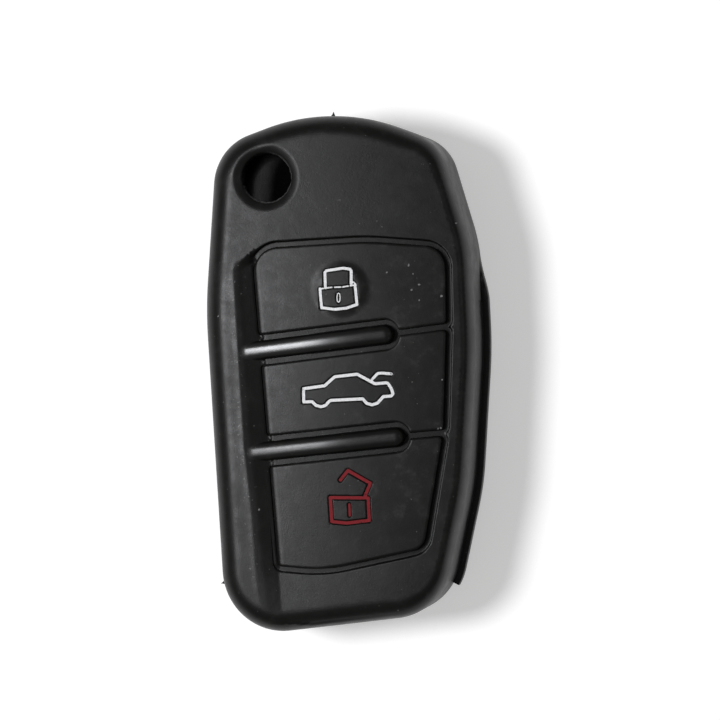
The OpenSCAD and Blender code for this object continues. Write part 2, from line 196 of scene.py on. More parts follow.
# Rings of points inside a button's outline and least distance of others, as shares of the edge's radius
PAD_RINGS = (0.08, 0.2, 0.36, 0.56, 0.8, 1.05, 1.5, 2.0, 2.5)
PAD_MARK_CLEAR = 1.1
PAD_LATTICE_CLEAR = 1.3
PIPS = ((0.4 * MM, 12.3 * MM), (1.54 * MM, -1.5 * MM), (2.02 * MM, -17.44 * MM))
PIP_R = 2.0 * MM
PIP_H = 0.6 * MM
PIP_POINTS = 48
# Section of a pip: shares of its radius and its height
PIP_SECTION = ((1, 0), (1, 0.55), (0.97, 0.8), (0.9, 0.94), (0.8, 1))
DOME = (0.75 * MM, 12.3 * MM)
DOME_R = 4.35 * MM
DOME_H = 0.23 * MM
DOME_TOP_R = 2.8 * MM

# Channel beside the buttons: y, left shoulder and depth, as shares
CHANNEL = (
    (-0.965, -0.504, 0.16), (-0.846, -0.545, 0.34), (-0.737, -0.569, 0.5), (-0.549, -0.594, 0.74),
    (-0.282, -0.652, 0.93), (0.103, -0.7, 1), (0.4, -0.735, 1), (0.429, -0.722, 0.6), (0.444, -0.696, 0.1),
)
# Low ridge along the shoulder
RIDGE_H = 0.05 * MM
RIDGE_BACK = 0.75 * MM
RIDGE_W = 0.35 * MM
CHANNEL_DEPTH = 1.05 * MM
CHANNEL_SHOULDER = 0.28
CHANNEL_FOOT_GAP = 0.1 * MM
CHANNEL_FADE = 1.6 * MM
CHANNEL_SLANT = 0.7
CREVICE_DEPTH = 0.4 * MM
CREVICE_W = 0.3 * MM
CREVICE_OVERLAP = 0.35 * MM
CREVICE_FADE = 0.3 * MM
# Below the buttons the foot fades out over a greater width
RUNOUT_W = 24 * MM
RUNOUT_START = 0.1 * MM
RUNOUT_BLEND = 0.5 * MM
# The lattice is fine from behind the shoulder to past the foot, below this y
CHANNEL_DETAIL_BACK = 1.2 * MM
CHANNEL_DETAIL_PAST = 0.5 * MM
CHANNEL_DETAIL_TOP = 18 * MM


def unit(v):
    return v / np.linalg.norm(v)


def unit_rows(v):
    return v / np.linalg.norm(v, axis=1)[:, None]


def quarter_turn(v):
    return np.array([-v[1], v[0]])


def cross(u, v):
    return u[0] * v[1] - u[1] * v[0]


def quarter(steps):
    return [math.radians(90 * k / steps) for k in range(steps + 1)]


def at_share(s):
    return np.array([s[0] * HALF_W, s[1] * HALF_L])


def face_z(x):
    return BODY_H - CROWN_H * (x / HALF_W) ** 2


def smooth(t):
    t = np.clip(t, 0, 1)
    return t * t * (3 - 2 * t)


def round_drop(t):
    """Fall of a quarter round, from 1 at t = 0 to 0 at t = 1."""
    return 1 - np.sqrt(1 - (1 - t) ** 2)


def circle(n):
    """Angles of n points round a circle of radius 1, and the points."""
    turns = np.linspace(0, 2 * np.pi, n, endpoint=False)
    return turns, np.column_stack([np.cos(turns), np.sin(turns)])


def rounded(corners, steps):
    """A closed outline through corners (x, y, radius)."""
    points = []
    n = len(corners)
    for i in range(n):
        a, b, c = (np.array(corners[(i + k) % n][:2]) for k in (-1, 0, 1))
        r = corners[i][2]
        if r == 0:
            points.append(b)
            continue
        u, v = unit(a - b), unit(c - b)
        half = math.acos(np.clip(u @ v, -1, 1)) / 2
        centre = b + unit(u + v) * r / math.sin(half)
        start = b + u * r / math.tan(half) - centre
        sweep = math.copysign(math.pi - 2 * half, cross(b - a, c - b))
        for k in range(steps + 1):
            turn = sweep * k / steps
            ct, st = math.cos(turn), math.sin(turn)
            points.append(centre + np.array([start[0] * ct - start[1] * st, start[0] * st + start[1] * ct]))
    return np.array(points)


def lengths(loop):
    """Distance along a closed loop to each point, and its whole length last."""
    step = np.linalg.norm(np.roll(loop, -1, axis=0) - loop, axis=1)
    return np.concatenate([[0], np.cumsum(step)])


def along(loop, places):
    """Points of a closed loop at these distances along it."""
    run = lengths(loop)
    closed = np.vstack([loop, loop[:1]])
    places = np.mod(places, run[-1])
    return np.column_stack([np.interp(places, run, closed[:, k]) for k in (0, 1)])


def resampled(loop, step):
    whole = lengths(loop)[-1]
    n = int(round(whole / step))
    return along(loop, np.arange(n) * whole / n)


def normals(loop):
    """Outward normals of a loop that runs anticlockwise."""
    ahead = unit_rows(np.roll(loop, -1, axis=0) - loop)
    behind = unit_rows(loop - np.roll(loop, 1, axis=0))
    run = unit_rows(ahead + behind)
    return np.column_stack([run[:, 1], -run[:, 0]])


def measure(points, loop, chunk=3000):
    """Distance of points to a closed loop, positive inside, and the nearest place as an index."""
    a = loop
    ab = np.roll(loop, -1, axis=0) - a
    ab2 = (ab ** 2).sum(1)
    slope = ab[:, 0] / np.where(ab[:, 1] == 0, 1e-15, ab[:, 1])
    distance = np.empty(len(points))
    place = np.empty(len(points))
    for low in range(0, len(points), chunk):
        p = points[low:low + chunk]
        dx = p[:, 0, None] - a[:, 0]
        dy = p[:, 1, None] - a[:, 1]
        t = np.clip((dx * ab[:, 0] + dy * ab[:, 1]) / ab2, 0, 1)
        d2 = (dx - t * ab[:, 0]) ** 2 + (dy - t * ab[:, 1]) ** 2
        k = d2.argmin(1)
        rows = np.arange(len(k))
        straddles = (dy < 0) != (dy < ab[:, 1])
        inside = (straddles & (dx < dy * slope)).sum(1) % 2 == 1
        distance[low:low + chunk] = np.where(inside, 1, -1) * np.sqrt(d2[rows, k])
        place[low:low + chunk] = k + t[rows, k]
    return distance, place


def fitted(loop):
    low, high = loop.min(0), loop.max(0)
    return (loop - (low + high) / 2) * np.array([HALF_W, HALF_L]) * 2 / (high - low)


OUTLINE = resampled(fitted(rounded(
    [(x * HALF_W, y * HALF_L, r * HALF_W) for x, y, r in OUTLINE_SHARES], OUTLINE_ARC_STEPS)), OUTLINE_STEP)


RIBS = [(at_share(RIB_ROOTS[i]), at_share(RIB_TIPS[i])) for i in (0, 1)]


def crossing(p, u, q, v):
    return p + u * cross(q - p, v) / cross(u, v)


def pad_loops():
    """Outlines of the three buttons, bent round the ribs' tips as in the CAD model."""
    left = [at_share(s) for s in LEFT_EDGE]
    right = [at_share(s) for s in RIGHT_EDGE]
    tip = [end for _, end in RIBS]
    run = [unit(end - root) for root, end in RIBS]
    divider = [unit(right[i + 1] - tip[i]) for i in (0, 1)]
    gap = RIB_W / 2 + GROOVE_W
    tip_angle = math.asin(GROOVE_W / 2 / gap)
    top_left, top_right, top, bottom_right, bottom, small = (s * HALF_W for s in CORNER_SHARES)

    def left_corner(i, side):
        at = crossing(left[0], unit(left[1] - left[0]), tip[i] + quarter_turn(run[i]) * gap * side, run[i])
        return (*at, small)

    def right_corner(i, side, k):
        at = crossing(right[k], right[k + 1] - right[k],
                      tip[i] + quarter_turn(divider[i]) * GROOVE_W / 2 * side, divider[i])
        return (*at, small)

    def bend(i, side):
        start = math.atan2(run[i][1], run[i][0]) + side * math.pi / 2
        stop = math.atan2(divider[i][1], divider[i][0]) + side * tip_angle
        turns = [start + (stop - start) * k / PAD_BEND_STEPS for k in range(PAD_BEND_STEPS + 1)]
        return [(tip[i][0] + gap * math.cos(a), tip[i][1] + gap * math.sin(a), 0) for a in turns]

    lock = [left_corner(0, 1), *bend(0, 1), right_corner(0, 1, 0), (*right[0], top_right),
            (*at_share(TOP_EDGE), top), (*left[0], top_left)]
    boot = [left_corner(1, 1), *bend(1, 1), right_corner(1, 1, 1), right_corner(0, -1, 1),
            *bend(0, -1)[::-1], left_corner(0, -1)]
    unlock = [(*left[1], small), (*at_share(BOTTOM_EDGE), bottom), (*right[3], bottom_right),
              right_corner(1, -1, 2), *bend(1, -1)[::-1], left_corner(1, -1)]
    return [resampled(rounded(c, PAD_ARC_STEPS), PAD_STEP) for c in (lock, boot, unlock)]


PAD_LOOPS = pad_loops()


def from_buttons(points):
    """Distance of points to the nearest button, negative on a button."""
    return -np.max([measure(points, loop)[0] for loop in PAD_LOOPS], axis=0)


def round_widths(loop):
    """Width of the front round along the outline, by the way that the wall faces."""
    n = normals(loop)
    left, right, top, bottom = FRONT_ROUND_W
    across = np.where(n[:, 0] < 0, left, right)
    up = np.where(n[:, 1] > 0, top, bottom)
    width = across * n[:, 0] ** 2 + up * n[:, 1] ** 2
    kernel = np.hanning(2 * WIDTH_REACH + 1)
    kernel /= kernel.sum()
    return np.convolve(np.concatenate([width[-WIDTH_REACH:], width, width[:WIDTH_REACH]]), kernel, "valid")


ROUND_WIDTHS = round_widths(OUTLINE)


def width_at(place):
    n = len(ROUND_WIDTHS)
    return np.interp(place, np.arange(n + 1), np.append(ROUND_WIDTHS, ROUND_WIDTHS[0]))


def left_edge_x(y):
    a, b = at_share(LEFT_EDGE[0]), at_share(LEFT_EDGE[1])
    return a[0] + (y - a[1]) * (b[0] - a[0]) / (b[1] - a[1])


def foot_x(y):
    """The channel's foot, just short of the buttons."""
    return left_edge_x(y) - CHANNEL_FOOT_GAP


CHANNEL_Y, CHANNEL_X, CHANNEL_SHARE = (np.array(CHANNEL) * (HALF_L, HALF_W, 1)).T


def shoulder_x(y):
    return np.interp(y, CHANNEL_Y, CHANNEL_X)


def channel_share(x, y):
    """Share of the channel's depth, with its top end cut on the slant."""
    slant = CHANNEL_SLANT * np.maximum(x - shoulder_x(y), 0) * (y > 0)
    return np.interp(y - slant, CHANNEL_Y, CHANNEL_SHARE, left=0, right=0)


def channel_drop(x, y):
    shoulder, foot, share = shoulder_x(y), foot_x(y), channel_share(x, y)
    u = (x - shoulder) / (foot - shoulder)
    b = CHANNEL_SHOULDER
    ramp = np.where(u < -b, 0, np.where(u < b, (u + b) ** 2 / (4 * b), u))
    corners = np.array([LEFT_EDGE[1], BOTTOM_EDGE, RIGHT_EDGE[3]]) * (HALF_W, HALF_L)
    below = smooth((np.interp(x, corners[:, 0], corners[:, 1]) + RUNOUT_START - y) / RUNOUT_BLEND)
    fade = 1 - smooth((x - foot) / (CHANNEL_FADE + (RUNOUT_W - CHANNEL_FADE) * below))
    ridge = RIDGE_H * np.exp(-((x - shoulder + RIDGE_BACK) / RIDGE_W) ** 2)
    return CHANNEL_DEPTH * share * np.minimum(ramp, 1) * fade - ridge * share


def from_segment(points, a, b):
    """Nearest place along a segment, as a share, and distance from it."""
    run = b - a
    t = np.clip(((points - a) @ run) / (run @ run), 0, 1)
    return t, np.linalg.norm(points - a - t[:, None] * run, axis=1)


def rib_top(points, rib):
    """Height of a rib's round top, falling away beside it, and distance from its centreline."""
    root, tip = rib
    t, distance = from_segment(points, root, tip)
    low = face_z(root[0]) + RIB_ROOT_PROUD
    high = face_z(tip[0]) + RIB_TIP_PROUD
    along_rib = np.linspace(0, 1, RIB_STATIONS)
    slope = 1 - RIB_ROOT_EASE * (1 - smooth(along_rib / RIB_STEEP))
    slope = np.cumsum(slope * (1 - smooth((along_rib - RIB_STEEP) / RIB_EASE)))
    axis = low + (high - low) * np.interp(t, along_rib, slope / slope[-1]) - RIB_R
    inner = RIB_R * np.maximum(1 - (distance / RIB_R) ** RIB_FULLNESS, 0) ** (1 / RIB_FULLNESS)
    return axis + np.where(distance < RIB_R, inner, RIB_FALL * (RIB_R - distance)), distance


def from_centre(points, centre):
    return np.linalg.norm(points - np.array(centre), axis=1)


def soft_max(a, b, k):
    """The larger of a and b, blended where they are nearly the same."""
    h = np.clip(0.5 + 0.5 * (a - b) / k, 0, 1)
    return b + (a - b) * h + k * h * (1 - h)


def window_drop(points):
    """How far the release window's funnel and round fall below the face."""
    r = from_centre(points, WINDOW)
    inward = np.clip((WINDOW_RIM_R - r) / (WINDOW_RIM_R - WINDOW_R), 0, 1)
    edge = np.clip((WINDOW_R + WINDOW_ROUND - r) / WINDOW_ROUND, 0, 1)
    return WINDOW_FUNNEL * inward ** WINDOW_FLARE + WINDOW_ROUND * (1 - np.sqrt(1 - edge ** 2))


def front_height(points):
    """Height of the moulded front at points, grooves included."""
    x, y = points.T
    inward, place = measure(points, OUTLINE)
    t = np.clip(inward / width_at(place), 0, 1)
    base = face_z(x) - FRONT_ROUND_H * round_drop(t) - channel_drop(x, y)
    floor = np.minimum(face_z(x) - GROOVE_DEPTH, base - GROOVE_LEAST)
    z = base
    for rib in RIBS:
        top, distance = rib_top(points, rib)
        bed = smooth((x - foot_x(y)) / RIB_BED_RISE) * (distance < RIB_W / 2 + GROOVE_W / 2)
        z = soft_max(z - (z - face_z(x) + GROOVE_DEPTH) * bed, top, RIB_BLEND)
    z = z - window_drop(points)
    outside = from_buttons(points)
    section = np.array(GROOVE_SECTION)
    share = np.interp(outside, section[:, 0] * MM, section[:, 1])
    beside = channel_share(x, y) * smooth((foot_x(y) + CREVICE_OVERLAP - x) / CREVICE_FADE)
    beside *= y > LEFT_EDGE[1][1] * HALF_L
    crevice = CREVICE_DEPTH * (1 - smooth(outside / CREVICE_W)) * beside
    return z - (z - floor) * share * (1 - beside) - crevice


def outward(loop, distance):
    return loop + normals(loop) * distance


def thinned(points, kept_first, least):
    """Points without those too close to an earlier one."""
    cells = {}
    kept = []
    for i, (x, y) in enumerate(points):
        cx, cy = int(math.floor(x / least)), int(math.floor(y / least))
        near = (q for dx in (-1, 0, 1) for dy in (-1, 0, 1) for q in cells.get((cx + dx, cy + dy), ()))
        if i < kept_first or all((q[0] - x) ** 2 + (q[1] - y) ** 2 >= least ** 2 for q in near):
            cells.setdefault((cx, cy), []).append((x, y))
            kept.append(i)
    return points[kept]


def triangulated(points, loops):
    """Delaunay faces inside loops (first index, count), the outer one first."""
    edges = [(a + k, a + (k + 1) % n) for a, n in loops for k in range(n)]
    flat = [Vector((x / MM, y / MM)) for x, y in points]
    out, _, faces, origin, _, _ = delaunay_2d_cdt(flat, edges, [], CDT_INSIDE, CDT_JOIN)
    names = [o[0] for o in origin]
    faces = np.array([[names[i] for i in f] for f in faces])
    middle = points[faces].mean(axis=1)
    for start, n in loops[1:]:
        faces_in_hole = measure(middle, points[start:start + n])[0] > HOLE_SLACK
        faces, middle = faces[~faces_in_hole], middle[~faces_in_hole]
    a, b, c = (points[faces[:, k]] for k in range(3))
    turn = (b - a)[:, 0] * (c - a)[:, 1] - (b - a)[:, 1] * (c - a)[:, 0]
    faces[turn < 0] = faces[turn < 0][:, ::-1]
    return faces


def lattice(low, high, step):
    """Points of a square lattice, and which are every second one both ways."""
    xs = np.arange(low[0], high[0], step)
    ys = np.arange(low[1], high[1], step)
    gx, gy = np.meshgrid(xs, ys)
    index = np.arange(gx.size)
    even = ((index % len(xs)) % 2 == 0) & ((index // len(xs)) % 2 == 0)
    return np.column_stack([gx.ravel(), gy.ravel()]), even


def spans_of(loops):
    spans = []
    start = 0
    for loop in loops:
        spans.append((start, len(loop)))
        start += len(loop)
    return spans


def placed(name, data):
    obj = bpy.data.objects.new(name, data)
    bpy.context.scene.collection.objects.link(obj)
    return obj


class Shape:
    """Points and faces of one piece, gathered ring by ring."""

    def __init__(self):
        self.points = []
        self.faces = []

    def add(self, points):
        start = len(self.points)
        self.points.extend(map(tuple, points))
        return np.arange(start, len(self.points))

    def sheet(self, points, faces, flip=False):
        names = self.add(points)
        faces = names[np.array(faces)]
        self.faces += (faces[:, ::-1] if flip else faces).tolist()
        return names

    def strip(self, lower, upper, keep=slice(None), flip=False):
        """Quads between two rings of equal count, outward where the rings run anticlockwise."""
        quads = np.column_stack([lower, np.roll(lower, -1), np.roll(upper, -1), upper])[keep]
        self.faces += (quads[:, ::-1] if flip else quads).tolist()

    def strips(self, rings, keep=slice(None), flip=False):
        for lower, upper in zip(rings, rings[1:]):
            self.strip(lower, upper, keep, flip)

    def piece(self, name, sharp=FRONT_SHARP):
        """The finished piece, with edges sharp beyond this angle in degrees."""
        mesh = bpy.data.meshes.new(name)
        mesh.from_pydata(self.points, [], self.faces)
        bm = bmesh.new()
        bm.from_mesh(mesh)
        bmesh.ops.remove_doubles(bm, verts=bm.verts, dist=MERGE)
        loose = [v for v in bm.verts if not v.link_faces]
        bmesh.ops.delete(bm, geom=loose, context="VERTS")
        for face in bm.faces:
            face.smooth = True
        for edge in bm.edges:
            if len(edge.link_faces) == 2:
                edge.smooth = edge.calc_face_angle() < math.radians(sharp)
        bm.to_mesh(mesh)
        bm.free()
        return placed(name, mesh)


def at_height(points, z):
    return np.column_stack([points, np.broadcast_to(z, len(points))])


def outline_columns():
    """The wall's columns, closer at the ends of slot and lip, half the slot's height, and the lip's end."""
    whole = lengths(OUTLINE)[-1]
    fine = np.linspace(0, whole, OUTLINE_PLACES, endpoint=False)
    x, y = along(OUTLINE, fine).T
    ends = ((y > 0, x - SLOT_TOP_X), (x < 0, y - SLOT_BOTTOM_Y), (x > 0, y - LIP_BOTTOM_Y))
    top, bottom, lip_end = (fine[np.argmin(np.where(side, abs(off), 1))] for side, off in ends)
    r = SLOT_H / 2
    turns = np.sin(np.radians(np.arange(0, 91, SLOT_END_TURN))) * r
    special = np.concatenate([top - turns, bottom + turns, [lip_end, lip_end - LIP_END_STEP]]) % whole
    plain = np.arange(0, whole, COLUMN_STEP)
    gap = abs((plain[:, None] - special + whole / 2) % whole - whole / 2).min(1)
    places = np.unique(np.concatenate([special, plain[gap > COLUMN_GAP]]))
    past = np.maximum(0, np.maximum(top - places, places - bottom))
    half = np.sqrt(np.maximum(r ** 2 - past ** 2, 0))
    half[half < SLOT_LEAST] = 0
    return places, half, lip_end


COLUMN_PLACES, SLOT_HALF, LIP_END = outline_columns()
COLUMNS = along(OUTLINE, COLUMN_PLACES)
IN_SLOT = (SLOT_HALF > 0) | (np.roll(SLOT_HALF, -1) > 0)


def at_columns(values):
    """Values along the outline, read at the columns."""
    return np.interp(COLUMN_PLACES, lengths(OUTLINE), np.append(values, values[0]))


COLUMN_NORMALS = np.column_stack([at_columns(v) for v in normals(OUTLINE).T])
COLUMN_WIDTHS = at_columns(ROUND_WIDTHS)


def moved_in(distance):
    distance = np.broadcast_to(distance, len(COLUMNS))
    return COLUMNS - COLUMN_NORMALS * distance[:, None]


def ring(inset, z):
    """The columns' points, moved in and at height z."""
    return at_height(moved_in(inset), z)


def wall_inset(z):
    rise = np.clip(1 - z / BACK_ROUND_H, 0, 1)
    return BACK_ROUND_W * (1 - np.sqrt(1 - rise ** 2))


def lip_growth():
    y = COLUMNS[:, 1]
    grown = smooth((LIP_TOP_Y - y) / LIP_TAPER)
    return np.where((COLUMNS[:, 0] > 0) & (COLUMN_PLACES > LIP_END - LIP_END_STEP / 2), grown, 0)


def window_hole():
    """The ragged edge of the window's hole."""
    rng = np.random.default_rng(WINDOW_SEEDS[0])
    turns, around = circle(WINDOW_POINTS)
    waves = zip(WINDOW_WAVES, rng.uniform(*WINDOW_WAVE_HEIGHTS, len(WINDOW_WAVES)) * MM,
                rng.uniform(0, 6, len(WINDOW_WAVES)))
    rim = WINDOW_R + sum(a * np.sin(k * turns + phase) for k, a, phase in waves)
    return np.array(WINDOW) + around * rim[:, None]


def front_rows():
    """Rows of points along the front's edge, grooves, window and ribs."""
    rows = [moved_in(COLUMN_WIDTHS * t)[::1 if t < FRONT_RING_THIN else 2] for t in FRONT_RING_SHARES]
    for loop in PAD_LOOPS:
        for d in GROOVE_ROWS:
            row = outward(loop, d * MM)
            rows.append(row[from_buttons(row) > (d - GROOVE_ROW_SLACK) * MM])
    around = circle(WINDOW_POINTS)[1]
    rows += [np.array(WINDOW) + around * r * MM for r in WINDOW_RINGS]
    s = np.arange(0, RIB_ROW_LENGTH, RIB_ROW_STEP)
    back = np.radians(np.arange(90, 271, RIB_ROW_TURN))
    for root, tip in RIBS:
        run = unit(tip - root)
        side = quarter_turn(run)
        for share in RIB_ROW_SHARES:
            for sign in (-1, 1):
                rows.append(root + run * s[:, None] + side * sign * share * RIB_R)
            if share:
                cap = np.cos(back)[:, None] * run + np.sin(back)[:, None] * side
                rows.append(root + cap * share * RIB_R)
    return rows


def front_lattice():
    """Lattice over the front, fine beside the channel and the buttons."""
    fine, even = lattice((-HALF_W, -HALF_L), (HALF_W, HALF_L), FRONT_LATTICE)
    x, y = fine.T
    inward, place = measure(fine, OUTLINE)
    near_pad = from_buttons(fine)
    detail = (x > shoulder_x(y) - CHANNEL_DETAIL_BACK) & (x < foot_x(y) + CHANNEL_DETAIL_PAST)
    detail |= near_pad < GROOVE_DETAIL
    detail &= y < CHANNEL_DETAIL_TOP
    room = (inward > width_at(place) * FRONT_LATTICE_SHARE) & (near_pad > GROOVE_LATTICE_CLEAR)
    room &= from_centre(fine, WINDOW) > WINDOW_LATTICE_R
    return fine[room & (detail | even)]


def front_points():
    """Points of the front, its outer ring and the holes of the buttons and the window first."""
    loops = [moved_in(COLUMN_WIDTHS * FRONT_EDGE_SHARE), *(outward(loop, PAD_GAP) for loop in PAD_LOOPS),
             window_hole()]
    points = np.vstack([*loops, *front_rows(), front_lattice()])
    first = sum(len(loop) for loop in loops)
    inward, place = measure(points, OUTLINE)
    ok = (inward > width_at(place) * FRONT_CLEAR_SHARE) & (from_buttons(points) > GROOVE_CLEAR)
    ok &= from_centre(points, WINDOW) > WINDOW_CLEAR
    ok[:first] = True
    return thinned(points[ok], first, FRONT_LEAST), spans_of(loops)


def lower_rings(edge):
    """Rings of the outer wall with its lip, from the back up to the slot's lower edge."""
    rings = [ring(BACK_ROUND_W * (1 - math.sin(t)), BACK_ROUND_H * (1 - math.cos(t)))
             for t in quarter(BACK_ROUND_STEPS)[:-1]]
    squeeze = (SLOT_Z - SLOT_HALF - SLOT_EDGE * (SLOT_HALF > 0) - BACK_ROUND_H) / (SLOT_Z - BACK_ROUND_H)
    growth = lip_growth()
    for share, above, plain in LIP_SECTION:
        height = plain * MM * (1 - growth) + (LIP_Z + above * MM) * growth
        inset = wall_inset(height) * (1 - share * growth)
        height = np.where(height > BACK_ROUND_H, BACK_ROUND_H + (height - BACK_ROUND_H) * squeeze, height)
        rings.append(ring(inset - LIP_PROUD * share * growth, height))
    return rings + [ring(0, SLOT_Z - SLOT_HALF - edge)]


def upper_rings(edge):
    """Rings of the outer wall, from the slot's upper edge to the front."""
    top = face_z(COLUMNS[:, 0]) - FRONT_ROUND_H
    bottom = SLOT_Z + SLOT_HALF + edge
    rings = [ring(0, bottom + (top - bottom) * s) for s in np.linspace(0, 1, UPPER_WALL_RINGS)]
    end_turn = math.acos(1 - FRONT_EDGE_SHARE)
    for k in range(1, FRONT_EDGE_STEPS + 1):
        turn = end_turn * k / FRONT_EDGE_STEPS
        at = moved_in(COLUMN_WIDTHS * (1 - math.cos(turn)))
        rings.append(at_height(at, face_z(at[:, 0]) - FRONT_ROUND_H * (1 - math.sin(turn))))
    return rings


def pocket_rings():
    turns = quarter(POCKET_ROUND_STEPS)
    low, high = POCKET_ROUND, POCKET_TOP_ROUND
    low = [ring(SIDE_WALL + low * (1 - math.sin(t)), BACK_WALL + low * (1 - math.cos(t))) for t in turns]
    high = [ring(SIDE_WALL + high * (1 - math.cos(t)), INNER_Z - high * (1 - math.sin(t))) for t in turns]
    return low + [ring(SIDE_WALL, SLOT_Z - SLOT_HALF)], [ring(SIDE_WALL, SLOT_Z + SLOT_HALF)] + high


def sleeve_shell():
    """The moulded sleeve: front, side walls, back, pocket and blade slot as one skin."""
    shape = Shape()
    points, spans = front_points()
    faces = triangulated(points, spans)
    z = front_height(points)
    outer_count, hole_spans = spans[0][1], spans[1:]
    z[:outer_count] = face_z(points[:outer_count, 0]) - FRONT_ROUND_H * round_drop(FRONT_EDGE_SHARE)
    rng = np.random.default_rng(WINDOW_SEEDS[1])
    a, n = hole_spans[-1]
    uneven = rng.normal(0, WINDOW_UNEVEN, n + WINDOW_EVENED - 1)
    z[a:a + n] += np.convolve(uneven, np.ones(WINDOW_EVENED) / WINDOW_EVENED, "valid")
    front = shape.sheet(at_height(points, z), faces)

    edge = np.minimum(SLOT_EDGE, SLOT_HALF)
    outer_low = lower_rings(edge)
    pocket_low, pocket_high = pocket_rings()
    lower = [shape.add(r) for r in outer_low]
    shape.strips(lower)
    upper = [shape.add(r) for r in upper_rings(edge)]
    shape.strips(upper)
    inner_low = [shape.add(r) for r in pocket_low]
    inner_high = [shape.add(r) for r in pocket_high]
    shape.strips(inner_low, flip=True)
    shape.strips(inner_high, flip=True)

    # The slot's edges, rounded outside and straight through the wall
    low_lips = [lower[-1]]
    high_lips = [upper[0]]
    for inwards, up in SLOT_EDGE_SECTION:
        low_lips.append(shape.add(ring(edge * inwards, SLOT_Z - SLOT_HALF + edge * up)))
        high_lips.append(shape.add(ring(edge * inwards, SLOT_Z + SLOT_HALF - edge * up)))
    shape.strips(low_lips + [inner_low[-1]], keep=IN_SLOT)
    shape.strips(high_lips + [inner_high[0]], keep=IN_SLOT, flip=True)

    # Back, pocket floor, and the underside of the front with the same holes
    for loop, height, flip in ((outer_low[0], 0, True), (pocket_low[0], BACK_WALL, False)):
        flat = loop[:, :2]
        inner = lattice(flat.min(0), flat.max(0), CAP_LATTICE)[0]
        inner = inner[measure(inner, flat)[0] > CAP_CLEAR]
        cap = np.vstack([flat, inner])
        shape.sheet(at_height(cap, height), triangulated(cap, [(0, len(flat))]), flip=flip)
    under = [pocket_high[-1][:, :2]] + [points[a:a + n] for a, n in hole_spans]
    under_spans = spans_of(under)
    under_points = np.vstack(under)
    faces = triangulated(under_points, under_spans)
    names = shape.sheet(at_height(under_points, INNER_Z), faces, flip=True)
    for (a, n), (c, _) in zip(hole_spans, under_spans[1:]):
        shape.strip(names[c:c + n], front[a:a + n], flip=True)
    return shape.piece("sleeve_shell")


# Painted strokes of the symbols on the buttons, in millimetres: width and centreline
LOCK_SIGN = (
    (0.4, ((-2.25, 12.36), (-2.04, 9.64), (-0.09, 9.41), (1.59, 9.57), (3.16, 10.1), (2.88, 13.01))),
    (0.2, ((-2.25, 12.36), (-1.5, 12.47))), (0.2, ((-1.2, 12.51), (-0.5, 12.58))),
    (0.2, ((-0.1, 12.59), (0.8, 12.62))), (0.2, ((1.1, 12.64), (1.9, 12.76))),
    (0.2, ((2.2, 12.8), (2.88, 12.89))),
    (0.4, ((-1.44, 12.51), (-1.54, 14.75), (-1.31, 14.98), (1.11, 15.34), (2.15, 15.2),
           (2.32, 14.95), (2.32, 13.0))),
    (0.16, ((2.32, 13.1), (2.62, 13.36), (2.86, 13.16))),
    (0.15, ((0.47, 11.75), (0.29, 11.6), (0.24, 11.1), (0.29, 10.58), (0.47, 10.43), (0.65, 10.58),
            (0.7, 11.1), (0.65, 11.6), (0.47, 11.75))),
)
BOOT_SIGN = (
    (0.43, ((-4.7, -2.06), (-4.7, -3.98), (-3.47, -3.92), (-2.86, -4.47), (-2.16, -4.66), (-1.48, -4.47),
            (-0.93, -3.85), (-0.69, -3.73), (3.97, -3.49), (4.55, -4.14), (5.33, -4.35), (6.13, -4.09),
            (6.94, -3.17), (8.12, -3.06), (8.37, -2.73), (8.12, -2.0), (7.63, -1.25), (7.38, -1.16),
            (5.76, -1.32), (3.16, 0.06), (-0.12, -0.32), (-1.61, -1.62), (-4.7, -2.06))),
    (0.4, ((5.33, -0.69), (6.13, 0.17), (6.76, 0.23), (8.12, 0.12))),
)
UNLOCK_SIGN = (
    (0.46, ((-0.79, -17.77), (-0.56, -21.24), (1.63, -21.43), (4.91, -21.01), (4.75, -17.77),
            (-0.79, -17.77))),
    (0.32, ((2.0, -18.73), (2.08, -20.33))),
    (0.46, ((0.71, -15.22), (1.81, -13.84), (5.07, -15.66), (4.33, -17.42))),
)
SIGNS = (LOCK_SIGN, BOOT_SIGN, UNLOCK_SIGN)
SIGN_DEPTH = 0.2 * MM
SIGN_FILM = 0.02 * MM
SIGN_WALL = 0.2 * MM
SIGN_SHARP = 60
# Rows of points beside a stroke's edge, in millimetres, their spacing and turn at its ends
SIGN_ROWS = (-0.05, 0, 0.05, 0.1, 0.15, 0.2, 0.27)
SIGN_ROW_STEP = 0.14 * MM
SIGN_ROW_TURN = 20
# How deep in a stroke they may lie, where the lattice is fine, and where it leaves them room
SIGN_ROW_REACH = 0.3 * MM
SIGN_FINE_REACH = -0.5 * MM
SIGN_CLEAR_INSIDE = 0.09 * MM
SIGN_CLEAR_OUTSIDE = -0.3 * MM
# Faces this deep in a stroke are painted
PAINT_REACH = 0.005 * MM
# How much wider than its paint a stroke is engraved, to each side
SIGN_MARGIN = 0.1 * MM


def stroke_points(line):
    """Points along an open line, and the way that it runs at each."""
    line = np.array(line) * MM
    span = np.linalg.norm(np.diff(line, axis=0), axis=1)
    run = np.concatenate([[0], np.cumsum(span)])
    s = np.linspace(0, run[-1], max(3, int(run[-1] / SIGN_ROW_STEP)))
    at = np.column_stack([np.interp(s, run, line[:, k]) for k in (0, 1)])
    return at, unit_rows(np.gradient(at, axis=0))


def stroke_distance(points, line):
    line = np.array(line) * MM
    return np.min([from_segment(points, a, b)[1] for a, b in zip(line, line[1:])], axis=0)


def sign_reach(points, i):
    """How deep points lie in the painted strokes of button i, negative outside."""
    return np.max([width * MM / 2 - stroke_distance(points, line) for width, line in SIGNS[i]], axis=0)


